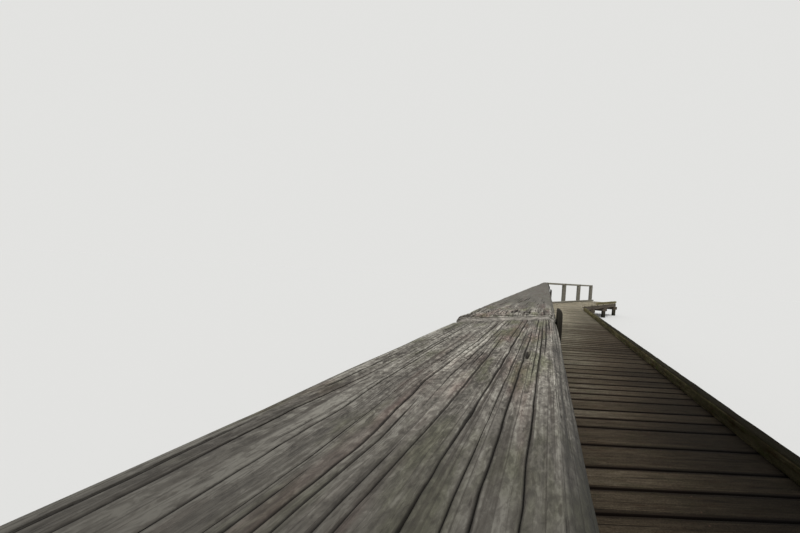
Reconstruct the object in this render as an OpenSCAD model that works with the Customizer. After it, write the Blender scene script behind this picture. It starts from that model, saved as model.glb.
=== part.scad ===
// Timber jetty: a boardwalk on piles, with a heavy cap rail along one side, a low kerb along the other and a
// last bay that turns towards the kerb. The origin is the foot of the first rail post.

/* [Run] */
// Distance from one rail post to the next
post_pitch = 2000; // [1500:50:2400]
// Post pitches in a straight bay
straight_pitches = 2; // [1:1:3]
// Straight bays before the bend
straight_bays = 5; // [2:1:6]
// Post pitches in the turned bay
turned_pitches = 3; // [2:1:4]
// Turn of the last bay towards the kerb, in degrees
bend = 25; // [5:1:40]

/* [Deck] */
// Height of the walking surface over the feet of the piles
deck_h = 700; // [550:10:1200]
// Clear width from the rail posts to the kerb
walk_w = 1340; // [900:10:2000]
// Thickness of a deck board
board_t = 45; // [30:1:60]
// Gap between deck boards
board_gap = 15; // [6:1:20]
// Widths of the sawn boards, in the order in which they are laid, over and over
board_widths = [199, 275, 274, 168, 178, 232, 167, 159, 159, 200, 200, 195];
// How far the boards run out past the kerb, in an order of their own
board_tails = [22, 12, 30, 18, 26, 8, 20, 34, 15];
// How far the deck runs out past the first and the last trestle
deck_lead = 254; // [150:1:300]
// Clearance between the boards and the rail posts
post_clearance = 3; // [1:1:10]

/* [Kerbs] */
// Width of the kerb opposite the rail
kerb_w = 100; // [60:5:150]
// Height of the kerb opposite the rail
kerb_h = 100; // [60:5:150]
// Length of deck without a kerb on each side of the bend
kerb_stop = 2780; // [500:10:3500]
// Width of the foot kerb under the rail
toe_w = 80; // [50:5:120]
// Height of the foot kerb under the rail
toe_h = 80; // [50:5:120]
// Worn corner of the kerb timbers
kerb_bevel = 9; // [2:1:20]

/* [Cap rail] */
// Height of the first cap plank's top over the deck
rail_h = 900; // [800:10:1100]
// Width of the cap rail
cap_w = 175; // [150:5:220]
// Thickness of the first cap plank
cap_t = 75; // [55:1:90]
// How much thicker each bay's plank is than the first, in the order of the bays
cap_extras = [0, 7, 3, 6, 2, 5];
// Width of the bevel on the deck side of the cap
bevel_w = 14; // [4:1:25]
// Depth of the bevel on the deck side of the cap
bevel_h = 12; // [4:1:25]
// Radius of the worn corner on the outer side of the cap
cap_round = 9; // [2:1:20]
// Distance from a cap splice, at the deck side, to the centre of the post beyond it
splice_back = 42; // [20:1:50]
// Skew of a cap splice in degrees: its outer end lies nearer the first post than its end at the deck side
splice_skew = 45; // [0:5:50]
// How far the cap runs out past its end posts
cap_tail = 90; // [0:10:200]

/* [Posts and piles] */
// Side of a square rail post or pile
post_w = 120; // [90:5:160]
// Thickness of the cheek that stands up beside the cap at a post
cheek_t = 12; // [8:1:25]
// How far a cheek stands up over the cap beside it
cheek_rise = 8; // [0:1:20]
// Radius of the cheek's top corners
cheek_round = 38; // [10:1:50]
// Worn corner of a post
post_bevel = 6; // [1:1:15]

/* [Trestles and stringers] */
// Thickness of a bearer
bearer_t = 60; // [40:5:90]
// Height of a bearer
bearer_h = 160; // [100:5:220]
// How far a bearer runs out past the posts
bearer_tail = 90; // [20:5:200]
// Width of a stringer
stringer_w = 80; // [50:5:120]
// Height of a stringer
stringer_h = 160; // [100:5:220]
// How far the boards run out past the stringers' ends
stringer_reveal = 30; // [0:5:80]

/* [Fits] */
// Open joint between two lengths of timber
joint_gap = 4; // [1:1:10]
// Clearance of the cap against the cheeks
cheek_clearance = 0.3; // [0.2:0.1:2]

/* [Hidden] */
bays = straight_bays + 1;
bay_list = [for (k = [1:bays]) k];
function named(stem) = [for (k = bay_list) str(stem, k)];

// Colours
cap_colour = "#8b867d";
post_colour = "#5d564d";
board_colour = "#7b7265";
kerb_colour = "#6f6a59";
frame_colour = "#665c50";

// Lengths and heights that follow from the sizes above
bay_len = straight_pitches * post_pitch;
corner_y = straight_bays * bay_len;
turned_len = turned_pitches * post_pitch;
mitre = tan(bend / 2);
skew = tan(splice_skew);
board_z = deck_h - board_t;
stringer_z = board_z - stringer_h;
bearer_z = stringer_z - bearer_h;
cap_z = deck_h + rail_h - cap_t;

// Places across the deck, from the rail posts' centre line towards the kerb
post_face = post_w / 2;
cap_edge = post_face - cheek_t;
kerb_x = post_face + walk_w;
board_x = post_face + post_clearance;
deck_edge = kerb_x + kerb_w + min(board_tails);
shore_x = kerb_x + kerb_w / 2;
lake_stringer_x = post_face;
shore_stringer_x = shore_x - stringer_w / 2;
middle_stringer_x = (lake_stringer_x + shore_stringer_x) / 2;

// Board places: the widths and gaps added up along one round of the list
board_count = len(board_widths);
board_sums = [for (i = 0, y = 0; i <= board_count; y = y + board_widths[i % board_count] + board_gap, i = i + 1) y];
function board_y(i) = floor(i / board_count) * board_sums[board_count] + board_sums[i % board_count];
function board_w(i) = board_widths[i % board_count];
function board_tail(i) = board_tails[i % len(board_tails)];

// Inner corner of the deck, and where the last straight board meets the turned boards
inner_y = corner_y - deck_edge * mitre;
turned_start = deck_edge * mitre;
wedge_tip_y = corner_y - board_x * sin(bend) + turned_start * cos(bend);
wedge_tip_x = board_x * cos(bend) + turned_start * sin(bend);
// Most boards that either run could need
board_limit = ceil((corner_y + turned_len) / min(board_widths));

// Moves what is laid out along the straight run to the turned run
module turned() {
    translate([0, corner_y, 0]) rotate([0, 0, -bend]) children();
}

// Moves a trestle to its station: 0 is the first post, and the one at the corner stands on the mitre
module at_station(i) {
    corner = straight_bays * straight_pitches;
    if (i < corner) translate([0, i * post_pitch, 0]) children();
    if (i == corner) translate([0, corner_y, 0]) rotate([0, 0, -bend / 2]) children();
    if (i > corner) turned() translate([0, (i - corner) * post_pitch, 0]) children();
}

// Stations that belong to a bay: its first post and those up to the next bay
function stations(bay) = bay < bays
    ? [for (i = [(bay - 1) * straight_pitches : bay * straight_pitches - 1]) i]
    : [for (i = [0 : turned_pitches]) straight_bays * straight_pitches + i];
// A trestle on the mitre is longer than the others
function reach(i) = i == straight_bays * straight_pitches ? 1 / cos(bend / 2) : 1;

// Plan of a timber along the run, with its ends cut square or on the mitre
module plan(x0, x1, y0, y1, cut0 = 0, cut1 = 0) {
    polygon([[x0, y0 + cut0 * x0], [x1, y0 + cut0 * x1], [x1, y1 + cut1 * x1], [x0, y1 + cut1 * x0]]);
}

// One bay of a timber that runs the whole length: its plan is cut at the joints and on the mitre
module along_bay(bay, x0, x1, lead) {
    half = joint_gap / 2;
    if (bay < bays) {
        first = bay == 1 ? -lead : (bay - 1) * bay_len + half;
        last = bay == straight_bays ? corner_y - half : bay * bay_len - half;
        plan(x0, x1, first, last, 0, bay == straight_bays ? -mitre : 0);
    } else {
        turned() plan(x0, x1, half, turned_len + lead, mitre, 0);
    }
}

// Square timber on end, with worn corners
module upright(side, height) {
    s = side / 2;
    b = post_bevel;
    linear_extrude(height)
        polygon([[s, b - s], [s, s - b], [s - b, s], [b - s, s], [-s, s - b], [-s, b - s], [b - s, -s], [s - b, -s]]);
}

// Cheek of a post, seen from the deck: a plate with round top corners
module cheek_outline(width, height) {
    r = cheek_round;
    translate([-width / 2, 0]) square([width, height - r]);
    translate([r - width / 2, 0]) square([width - 2 * r, height]);
    for (side = [-1, 1]) translate([side * (width / 2 - r), height - r]) circle(r, $fn = 48);
}

// Rail post from its foot up to the cap, with a cheek left standing beside the cap
module rail_post(cap_thickness) {
    width = post_w - 2 * post_bevel;
    upright(post_w, cap_z);
    translate([post_face, 0, cap_z - post_w])
        rotate([90, 0, -90]) mirror([1, 0, 0])
            linear_extrude(cheek_t - cheek_clearance)
                cheek_outline(width, post_w + cap_thickness + cheek_rise);
}

// Section of the cap: worn round on the outer side, bevelled on the deck side
module cap_section(thickness) {
    lake_edge = cap_edge - cap_w;
    r = cap_round;
    polygon(concat(
        [[lake_edge, 0], [cap_edge, 0], [cap_edge, thickness - bevel_h], [cap_edge - bevel_w, thickness]],
        [for (a = [90:15:180]) [lake_edge + r + r * cos(a), thickness - r + r * sin(a)]]));
}

// Section of a kerb with worn top corners
module kerb_section(x0, width, height) {
    b = kerb_bevel;
    polygon([[x0, 0], [x0 + width, 0], [x0 + width, height - b], [x0 + width - b, height],
        [x0 + b, height], [x0, height - b]]);
}

// Pulls a section out along the run, and cuts it to the plan given as the child
module pulled(y0, y1, z) {
    intersection() {
        translate([0, y1, z]) rotate([90, 0, 0]) linear_extrude(y1 - y0) children(0);
        linear_extrude(z + rail_h) children(1);
    }
}

// Distance along the run, on the posts' centre line, at which the splice after a bay is cut
function splice_y(bay) = bay * bay_len - splice_back - skew * cap_edge;

module cap_rail(bay) {
    half = joint_gap / 2;
    half_skewed = half / cos(splice_skew);
    thickness = cap_t + cap_extras[(bay - 1) % len(cap_extras)];
    end = post_face + cap_tail;
    color(cap_colour)
    if (bay < bays) {
        first = bay == 1 ? -end : splice_y(bay - 1) + half_skewed;
        last = bay == straight_bays ? corner_y - half : splice_y(bay) - half_skewed;
        first_cut = bay == 1 ? 0 : skew;
        last_cut = bay == straight_bays ? -mitre : skew;
        pulled(first - first_cut * cap_w, last + cap_w, cap_z) {
            cap_section(thickness);
            plan(-cap_w, cap_w, first, last, first_cut, last_cut);
        }
    } else {
        turned() pulled(-cap_w, turned_len + end, cap_z) {
            cap_section(thickness);
            plan(-cap_w, cap_w, half, turned_len + end, mitre, 0);
        }
    }
}

module rail_posts(bay) {
    thickness = cap_t + cap_extras[(bay - 1) % len(cap_extras)];
    color(post_colour) for (i = stations(bay)) at_station(i) rail_post(thickness);
}

module foot_kerb(bay) {
    half = joint_gap / 2;
    color(kerb_colour)
    if (bay < bays) {
        first = bay == 1 ? -deck_lead : (bay - 1) * bay_len + half;
        last = bay == straight_bays ? corner_y - half : bay * bay_len - half;
        pulled(first, last, deck_h) {
            kerb_section(post_face, toe_w, toe_h);
            plan(0, walk_w, first, last, 0, bay == straight_bays ? -mitre : 0);
        }
    } else {
        turned() pulled(0, turned_len + deck_lead, deck_h) {
            kerb_section(post_face, toe_w, toe_h);
            plan(0, walk_w, half, turned_len + deck_lead, mitre, 0);
        }
    }
}

module shore_kerb(bay) {
    half = joint_gap / 2;
    color(kerb_colour)
    if (bay < bays) {
        first = bay == 1 ? -deck_lead : (bay - 1) * bay_len + half;
        last = bay == straight_bays ? corner_y - kerb_stop : bay * bay_len - half;
        translate([0, last, deck_h]) rotate([90, 0, 0]) linear_extrude(last - first)
            kerb_section(kerb_x, kerb_w, kerb_h);
    } else {
        turned() translate([0, turned_len + deck_lead, deck_h]) rotate([90, 0, 0])
            linear_extrude(turned_len + deck_lead - kerb_stop) kerb_section(kerb_x, kerb_w, kerb_h);
    }
}

// Straight boards, and those of the bend, which run on square to the straight until the turned boards begin
module straight_boards(bay) {
    from = bay == 1 ? -deck_lead : (bay - 1) * bay_len;
    to = bay == straight_bays ? wedge_tip_y : bay * bay_len;
    for (i = [0 : board_limit]) {
        y = board_y(i) - deck_lead;
        w = board_w(i);
        if (y >= from && y < to) {
            if (y + w <= inner_y) {
                translate([board_x, y, board_z]) cube([kerb_x + kerb_w + board_tail(i) - board_x, w, board_t]);
            } else {
                translate([0, 0, board_z]) linear_extrude(board_t) intersection() {
                    translate([board_x, y]) square([deck_edge - board_x, w]);
                    polygon([[board_x, from], [deck_edge, from], [deck_edge, inner_y], [wedge_tip_x, wedge_tip_y],
                        [board_x, corner_y - board_x * mitre]]);
                }
            }
        }
    }
}

module turned_boards() {
    to = turned_len + deck_lead;
    for (i = [0 : board_limit]) {
        y = turned_start + board_gap + board_y(i);
        w = board_w(i);
        if (y + w <= to) {
            translate([board_x, y, board_z]) cube([kerb_x + kerb_w + board_tail(i) - board_x, w, board_t]);
        }
    }
}

module deck_boards(bay) {
    color(board_colour)
    if (bay < bays) straight_boards(bay);
    else turned() turned_boards();
}

module shore_piles(bay) {
    color(post_colour) for (i = stations(bay)) at_station(i) translate([shore_x * reach(i), 0, 0])
        upright(post_w, stringer_z);
}

// A pair of bearers clamps the post and the pile of each trestle
module bearers(bay) {
    color(frame_colour) for (i = stations(bay)) at_station(i) {
        x0 = -post_face - bearer_tail;
        x1 = shore_x * reach(i) + post_face + bearer_tail;
        for (side = [-1, 1]) translate([x0, side * (post_w + bearer_t) / 2 - bearer_t / 2, bearer_z])
            cube([x1 - x0, bearer_t, bearer_h]);
    }
}

module stringer(x0) {
    color(frame_colour) for (bay = bay_list) translate([0, 0, stringer_z]) linear_extrude(stringer_h)
        along_bay(bay, x0, x0 + stringer_w, deck_lead - stringer_reveal);
}

for (k = bay_list) {
    cap_rail(k);
    rail_posts(k);
    foot_kerb(k);
    deck_boards(k);
    shore_kerb(k);
    shore_piles(k);
    bearers(k);
}
stringer(lake_stringer_x);  // lake_stringer
stringer(middle_stringer_x);  // middle_stringer
stringer(shore_stringer_x);  // shore_stringer
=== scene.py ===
"""Weathered timbers, fixings, floor and light for a timber jetty.

The jetty is a boardwalk on piles with a heavy cap rail along one side. Every timber is a closed skin whose
faces run along the grain, so that its ridges, checks and knots are real relief, and the same grain runs
through its colour.
"""

import math

import bmesh
import bpy
import numpy as np
from bpy.props import FloatProperty, FloatVectorProperty, IntProperty, PointerProperty
from mathutils import Matrix, Vector


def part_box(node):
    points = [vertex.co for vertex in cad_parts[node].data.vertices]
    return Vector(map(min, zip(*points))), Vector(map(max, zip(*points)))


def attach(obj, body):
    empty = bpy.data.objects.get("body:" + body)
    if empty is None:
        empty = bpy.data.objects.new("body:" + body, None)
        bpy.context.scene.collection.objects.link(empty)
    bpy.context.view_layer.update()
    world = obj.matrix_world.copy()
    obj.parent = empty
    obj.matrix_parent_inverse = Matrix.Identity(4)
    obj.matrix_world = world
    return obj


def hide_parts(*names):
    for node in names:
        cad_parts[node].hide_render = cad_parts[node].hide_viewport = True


bl_info = {
    "name": "Timber jetty finish",
    "version": (1, 0, 0),
    "blender": (4, 5, 0),
    "location": "3D View > Sidebar > Jetty",
    "description": "Weathered timbers, fixings, floor and light for a timber jetty",
    "category": "Object",
}

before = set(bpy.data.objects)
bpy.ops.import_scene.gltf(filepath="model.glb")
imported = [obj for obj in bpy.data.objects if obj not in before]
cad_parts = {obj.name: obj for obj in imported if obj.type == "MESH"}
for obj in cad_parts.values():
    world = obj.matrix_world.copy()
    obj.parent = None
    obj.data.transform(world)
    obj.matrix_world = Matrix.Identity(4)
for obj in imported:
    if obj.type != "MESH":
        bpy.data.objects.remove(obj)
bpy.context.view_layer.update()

BODY = "root"
BAYS = 6
STRINGERS = ("lake_stringer", "middle_stringer", "shore_stringer")
SEED = 20
# Corners of a solid closer than this are one corner
WELD = 1e-5
# Faces that meet at less than this angle are one flat face
FLAT_ANGLE = math.radians(1)
# Length that the fields of a timber's grain reach past its end
FIELD_MARGIN = 0.02
# How light the timbers are at distances along the run, in doublings of their colour: painted shade of the
# trees darkens the near bays, over damp wood, and a painted sheen lightens the far bays
RUN_SHADE_SHEEN_AND_DAMP = ((2.0, -0.6), (4.5, -1.2), (6.0, -0.3), (8.3, 0.42), (11.0, 1.05), (12.5, 1.55), (14.5, 1.9),
             (16.5, 2.0))
# How much darker the boards get towards the kerb, at distances along the run, in doublings: painted shade of
# the trees on that side, with dirt along the kerb
KERB_SHADE_AND_DIRT = ((2.0, 1.4), (5.0, 2.5), (12.0, 1.35), (21.0, 0.0))


def srgb(*shown):
    """A colour written as three display values from 0 to 255, in linear light."""
    return tuple(((v / 255 + 0.055) / 1.055) ** 2.4 if v > 10 else v / 255 / 12.92 for v in shown)


# Properties

def colour_property(name, description, value):
    return FloatVectorProperty(name=name, description=description, default=value, subtype="COLOR", min=0,
                               max=1)


def length_property(name, description, value):
    return FloatProperty(name=name, description=description, default=value, min=0, unit="LENGTH")


def timber_properties(column, row, ridge, hollow, checks, check_width, check_depth, corner, pale, body, dark):
    """Sizes and colours that every kind of timber has, with that kind's own defaults."""
    return {
        "column": length_property("Column", "Width of the skin's faces across the grain", column),
        "row": length_property("Row", "Length of the skin's faces along the grain", row),
        "ridge": length_property("Ridge", "Depth that the weather has worn between hard rings", ridge),
        "hollow": length_property("Hollow", "Depth of the broad worn hollows", hollow),
        "checks": IntProperty(name="Checks", description="Drying checks on each timber", default=checks,
                              min=0),
        "check_width": length_property("Check width", "Widest opening of a check", check_width),
        "check_depth": length_property("Check depth", "Deepest place of a check", check_depth),
        "corner": length_property("Corner", "Worn round of the long edges", corner),
        "pale": colour_property("Pale", "Colour of the bleached ridges", pale),
        "body": colour_property("Body", "Colour of the wood between them", body),
        "dark": colour_property("Dark", "Colour of the worn hollows and streaks", dark),
    }


class JettyCapSettings(bpy.types.PropertyGroup):
    """Cap rail."""
    __annotations__ = timber_properties(
        0.0024, 0.060, 0.0012, 0.0008, 12, 0.0016, 0.0080, 0.009,
        srgb(188, 184, 172), srgb(128, 123, 114), srgb(66, 62, 56))
    bevel_across: length_property("Bevel width", "Width of the deck side's bevel", 0.014)
    bevel_down: length_property("Bevel depth", "Depth of the deck side's bevel", 0.012)
    near_column: length_property("Near column", "Width of the first plank's faces across the grain", 0.0013)
    near_row: length_property("Near row", "Length of the first plank's faces before its splice", 0.0050)
    near_length: length_property("Near length", "Length of the first plank that has them", 0.78)


class JettyBoardSettings(bpy.types.PropertyGroup):
    """Deck boards."""
    __annotations__ = timber_properties(
        0.018, 0.090, 0.0010, 0.0008, 2, 0.0030, 0.0070, 0.008,
        srgb(124, 115, 99), srgb(89, 80, 68), srgb(50, 42, 34))
    cup: length_property("Cup", "Rise or fall of a board's middle", 0.0015)


class JettyKerbSettings(bpy.types.PropertyGroup):
    """Kerbs."""
    __annotations__ = timber_properties(
        0.009, 0.090, 0.0010, 0.0034, 3, 0.0018, 0.0070, 0.011,
        srgb(119, 112, 84), srgb(79, 73, 53), srgb(41, 37, 26))


class JettyPostSettings(bpy.types.PropertyGroup):
    """Rail posts and piles."""
    __annotations__ = timber_properties(
        0.016, 0.080, 0.0010, 0.0014, 3, 0.0020, 0.0090, 0.006,
        srgb(112, 108, 96), srgb(74, 70, 61), srgb(36, 33, 28))
    cheek: length_property("Cheek", "Thickness of the cheek beside the cap", 0.0117)
    cheek_width: length_property("Cheek width", "Width of the cheek beside the cap", 0.108)
    cheek_round: length_property("Cheek round", "Radius of the cheek's top corners", 0.038)
    cheek_edge: length_property("Cheek edge", "Radius of the cheek's worn outer top edge", 0.0105)


class JettyFrameSettings(bpy.types.PropertyGroup):
    """Bearers and stringers."""
    __annotations__ = timber_properties(
        0.030, 0.200, 0.0008, 0.0012, 1, 0.0022, 0.0070, 0.004,
        srgb(110, 100, 86), srgb(78, 70, 60), srgb(40, 35, 29))


class JettyFixingSettings(bpy.types.PropertyGroup):
    """Nails and bolts."""
    nail_head: length_property("Nail head", "Diameter of a deck nail's head", 0.0085)
    nail_inset: length_property("Nail inset", "Distance of a deck nail from its board's long edge", 0.040)
    bolt: length_property("Bolt", "Width of a bolt's head across its flats", 0.024)
    washer: length_property("Washer", "Diameter of a bolt's washer", 0.044)
    rust: colour_property("Rust", "Colour of the rusted heads", srgb(70, 50, 38))
    zinc: colour_property("Zinc", "Colour of the worn zinc", srgb(120, 120, 118))


class JettyStageSettings(bpy.types.PropertyGroup):
    """Floor, light and camera."""
    floor: colour_property("Floor", "Colour of the plain floor", srgb(226, 226, 224))
    floor_side: length_property("Floor side", "Side of the floor", 400.0)
    sky_strength: FloatProperty(name="Sky", description="Strength of the even light from all sides",
                                default=0.38)
    sun_strength: FloatProperty(name="Sun", description="Strength of the soft main light", default=2.65)
    sun_way: FloatVectorProperty(name="Sun way", description="Way from the jetty to the soft main light",
                                 size=3, subtype="DIRECTION", default=(0.1, -0.9, 1.0))
    sun_size: FloatProperty(name="Sun size", description="Angle that the soft main light fills",
                            subtype="ANGLE", default=math.radians(50))
    lens: FloatProperty(name="Lens", description="Focal length on a sensor 36 mm wide", default=17.469,
                        unit="CAMERA")
    shift: FloatVectorProperty(name="Shift", description="Shift of the view, in widths of the picture",
                               size=2, default=(-0.20, 0.075))
    lens_place: FloatVectorProperty(name="Lens place", description="Place of the lens just over the cap rail",
                                    subtype="TRANSLATION", unit="LENGTH", default=(0.0226, 3.1439, 1.6743))
    turn: FloatVectorProperty(name="Turn", description="Yaw from the run, pitch and roll of the camera",
                              size=3, subtype="EULER",
                              default=tuple(math.radians(angle) for angle in (-2.31, -6.55, 3.94)))


# Timbers of the frame

class Timber:
    """One straight solid of the frame: its own directions, and its corners measured along them."""

    def __init__(self, corners, edges, upright=False, along=None):
        runs = corners[edges[:, 1]] - corners[edges[:, 0]]
        if upright:
            along = np.array((0.0, 0.0, 1.0))
            level = runs[np.abs(runs[:, 2]) < WELD]
            level = level / np.linalg.norm(level, axis=1)[:, None]
            up = level[np.argmax(np.abs(level[:, 0]))]
            up = up * np.sign(up[0])
        else:
            if along is None:
                along = runs[np.argmax(np.linalg.norm(runs, axis=1))]
            along = along / np.linalg.norm(along)
            along = along * np.sign(along[1] if abs(along[1]) > abs(along[0]) else along[0])
            up = np.array((0.0, 0.0, 1.0))
        self.axes = np.array((along, np.cross(along, up), up))
        self.corners = corners @ self.axes.T
        self.edges = edges
        self.low = self.corners.min(0)
        self.high = self.corners.max(0)
        self.length, self.width, self.height = self.high - self.low
        self.middle = (self.low + self.high) / 2

    def world(self, local):
        return local @ self.axes

    def span(self, across):
        """Where the timber starts and ends along its length, at each distance across it."""
        across = np.clip(across, self.low[1] + WELD, self.high[1] - WELD)
        start = np.full(across.shape, np.inf)
        end = np.full(across.shape, -np.inf)
        for first, second in self.edges:
            first_along, first_across = self.corners[first][:2]
            second_along, second_across = self.corners[second][:2]
            if abs(second_across - first_across) < WELD:
                continue
            share = (across - first_across) / (second_across - first_across)
            crossed = (share >= 0) & (share <= 1)
            place = first_along + share * (second_along - first_along)
            start = np.where(crossed, np.minimum(start, place), start)
            end = np.where(crossed, np.maximum(end, place), end)
        return start, end


def timbers_of(node, upright=False, along=None):
    """Each separate solid of a CAD node, in the order of its corners in the node."""
    welded = bmesh.new()
    welded.from_mesh(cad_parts[node].data)
    bmesh.ops.remove_doubles(welded, verts=welded.verts, dist=WELD)
    bmesh.ops.dissolve_limit(welded, angle_limit=FLAT_ANGLE, verts=welded.verts, edges=welded.edges)
    welded.verts.index_update()
    seen = set()
    found = []
    for first in welded.verts:
        if first.index in seen:
            continue
        seen.add(first.index)
        group = [first]
        for vert in group:
            for edge in vert.link_edges:
                other = edge.other_vert(vert)
                if other.index not in seen:
                    seen.add(other.index)
                    group.append(other)
        number = {vert.index: place for place, vert in enumerate(group)}
        edges = [[number[end.index] for end in edge.verts] for vert in group for edge in vert.link_edges
                 if edge.verts[0] == vert]
        found.append(Timber(np.array([vert.co for vert in group], float), np.array(edges), upright, along))
    welded.free()
    return found


def uprights_of(node):
    return timbers_of(node, upright=True)


def boards_of(node):
    """The boards of a bay, all measured along the first one, so that wedges lie as the others do."""
    return timbers_of(node, along=timbers_of(node)[0].axes[0])


def bay_nodes(stem):
    return [f"{stem}_{bay}" for bay in range(1, BAYS + 1)]


def along_run(timber, steps):
    """The value that a timber takes from steps, which are distances along the run with their values."""
    return float(np.interp(timber.world(timber.middle)[1], *zip(*steps)))


# Sections and weather

def smooth(value):
    value = np.clip(value, 0, 1)
    return value * value * (3 - 2 * value)


def valley(value):
    """1 along the lines where a field is zero, falling to 0 on both sides, like grooves between rings."""
    return (1 - np.clip(np.abs(value) / VALLEY_SHARE, 0, 1)) ** 2


class Field:
    """A smooth random surface over the length and the girth of a timber, from -1 to 1."""

    def __init__(self, rng, length, girth, cell_along, cell_round):
        self.cells = (cell_along, cell_round)
        self.last = [int((size + FIELD_MARGIN) / cell) + 1 for size, cell in zip((length, girth), self.cells)]
        self.values = rng.uniform(-1, 1, (self.last[0] + 1, self.last[1] + 1))

    def at(self, along, girth):
        places = []
        for place, cell, last in zip((along, girth), self.cells, self.last):
            whole, part = np.divmod(np.clip(place / cell, 0, last - 1e-6), 1.0)
            places.append((whole.astype(int), smooth(part)))
        (row, row_share), (column, share) = places
        near = self.values[row, column] * (1 - share) + self.values[row, column + 1] * share
        far = self.values[row + 1, column] * (1 - share) + self.values[row + 1, column + 1] * share
        return near * (1 - row_share) + far * row_share


class Outline:
    """Section of a timber, walked round from the middle of its underside.

    Each corner gives how far it is cut back across and up, and how round the cut is, from 0 for a flat bevel
    to 1. They come in the order far bottom, far top, near top and near bottom.
    """
    STEPS = 5
    NUDGE = 0.0008

    def __init__(self, timber, corners):
        low, high = timber.low[1:], timber.high[1:]
        signs = ((1, -1), (1, 1), (-1, 1), (-1, -1))
        points = [((low[0] + high[0]) / 2, low[1])]
        rounded = []
        for number, ((side, rise), (cut_across, cut_up, roundness)) in enumerate(zip(signs, corners)):
            corner = np.array((high[0] if side > 0 else low[0], high[1] if rise > 0 else low[1]))
            on_flat = corner - (side * cut_across, 0)
            on_side = corner - (0, rise * cut_up)
            first, last = (on_flat, on_side) if number in (0, 2) else (on_side, on_flat)
            pull = (first + last) / 2 * (1 - roundness) + corner * roundness
            for step in range(self.STEPS + 1):
                share = step / self.STEPS
                bent = first * (1 - share) ** 2 + 2 * pull * share * (1 - share) + last * share * share
                rounded.append(len(points))
                points.append(tuple(bent))
        points.append(points[0])
        self.points = np.array(points)
        self.distance = np.r_[0, np.cumsum(np.linalg.norm(np.diff(self.points, axis=0), axis=1))]
        self.girth = self.distance[-1]
        self.corner_places = self.distance[rounded]

    def place(self, girth):
        """Where a distance round the section lies, across the timber and up."""
        girth = np.mod(girth, self.girth)
        return (np.interp(girth, self.distance, self.points[:, 0]),
                np.interp(girth, self.distance, self.points[:, 1]))

    def outward(self, girth):
        """The way out of the timber at a distance round the section."""
        across_before, up_before = self.place(girth - self.NUDGE)
        across_after, up_after = self.place(girth + self.NUDGE)
        length = np.hypot(across_after - across_before, up_after - up_before) + 1e-12
        return (up_after - up_before) / length, (across_before - across_after) / length

    def top(self, across):
        """Distance round the section of a place on its upper face."""
        upper = slice(2 + self.STEPS + 1, 2 + 3 * (self.STEPS + 1))
        order = np.argsort(self.points[upper][:, 0])
        return float(np.interp(across, self.points[upper][order, 0], self.distance[upper][order]))

    def columns(self, fine, coarse):
        """Places round the section: fine on its upper half and sides, coarse underneath, and all corners."""
        places = list(self.corner_places)
        edges = sorted([0.0, self.girth] + places)
        for start, end in zip(edges, edges[1:]):
            pitch = coarse if self.outward((start + end) / 2)[1] < -0.5 else fine
            count = max(1, int(round((end - start) / pitch)))
            places.extend(start + (end - start) * number / count for number in range(count))
        places = np.unique(np.round(places, 6))
        return places[places < self.girth - WELD]


def plain_corners(size, roundness=0.9):
    return ((size, size, roundness),) * 4


class Check:
    """A drying check: where it lies round the section, the stretches in which it opens, and how far it does.

    Its drift across the grain and its share of its full width are given at places along its timber.
    """

    def __init__(self, girth, stretches, width, depth, drift=((0.0, 0.0),), widths=((0.0, 1.0),)):
        self.girth = girth
        self.stretches = stretches
        self.width = width
        self.depth = depth
        self.drift = drift
        self.widths = widths

    def opened(self, along):
        """How far it is open along its timber, from 0 to 1."""
        share = np.zeros(along.shape)
        for start, end in self.stretches:
            size = end - start
            reach = min(max(0.03, size * 0.2), size * 0.4)
            share = np.maximum(share, smooth((along - start) / reach) * smooth((end - along) / reach))
        return share


class Knot:
    """A knot or a pit: its place along the timber and round its section, its radius, how long it is for its
    width, and how deep it has weathered out."""

    def __init__(self, along, girth, radius, stretch=1.3, sunk=0.0):
        self.along = along
        self.girth = girth
        self.radius = radius
        self.stretch = stretch
        self.sunk = sunk


# Random fields of the ridges, broad and fine: share of the relief, and cell along the timber and round it
RIDGES = ((0.62, 0.30, 0.0058), (0.38, 0.09, 0.0024))
# Cells of the other fields, along the timber and round it: the hollows, the wear of the edges, the drift of
# the grain, and the end grain
HOLLOW_CELL = (0.55, 0.045)
EDGE_CELL = (0.11, 0.012)
DRIFT_CELL = (0.7, 0.06)
END_CELL = (0.25, 0.004)
# Length over which a check opens and closes, and the share and length of its broad and fine jags
OPENING_CELL = 0.05
JAGS = ((0.6, 0.032), (0.4, 0.011))
# Least width of the skin's faces underneath, and how much wider than on top they are there
UNDER_COLUMN = 0.012
UNDER_TIMES = 3
# Where columns give way to a check, as a share of their width beside its shoulder
COLUMN_MARGIN = 0.35
# Columns of the skin in a check: its shoulders, its lips and its floor
CHECK_COLUMNS = (-2, -1, 0, 1, 2)
# Half the width of a closed check, how much of an open one's width is even and how much varies along it, and
# the most that it jags aside
CLOSED_HALF = 0.00012
OPENING_EVEN = 0.72
OPENING_VARIES = 0.28
JAG_LIMIT = 0.0006
# How far the grain beside a check drifts along with it, and how far from the long edges it starts to wander
DRIFT_REACH = 0.015
WANDER_MARGIN = 0.02
# How dark the walls of a check are, next to its floor
WALL_SHADE = 0.12
# How much a knot smooths the ridges
KNOT_SMOOTH = 0.7
# Shoulder of wood on each side of a check, and how far down it slopes, as a share of the check's depth
CHECK_SHOULDER = 0.0006
CHECK_SLOPE = 0.12
# Least distance from one random check to the next
CHECK_PITCH = 0.008
# How much paler than the wood beside it the lip of an open check is, as a painted highlight on it
CHECK_LIP_HIGHLIGHT = 0.3
# Depth that the edges are worn down, where their wear is 1
EDGE_DEPTH = 0.0016
# Depth that the end grain and a check in it are worn, and the depth at which end grain looks fully worn
END_DEPTH = 0.0011
END_CHECK_DEPTH = 0.004
END_WORN = 0.0016
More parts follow.
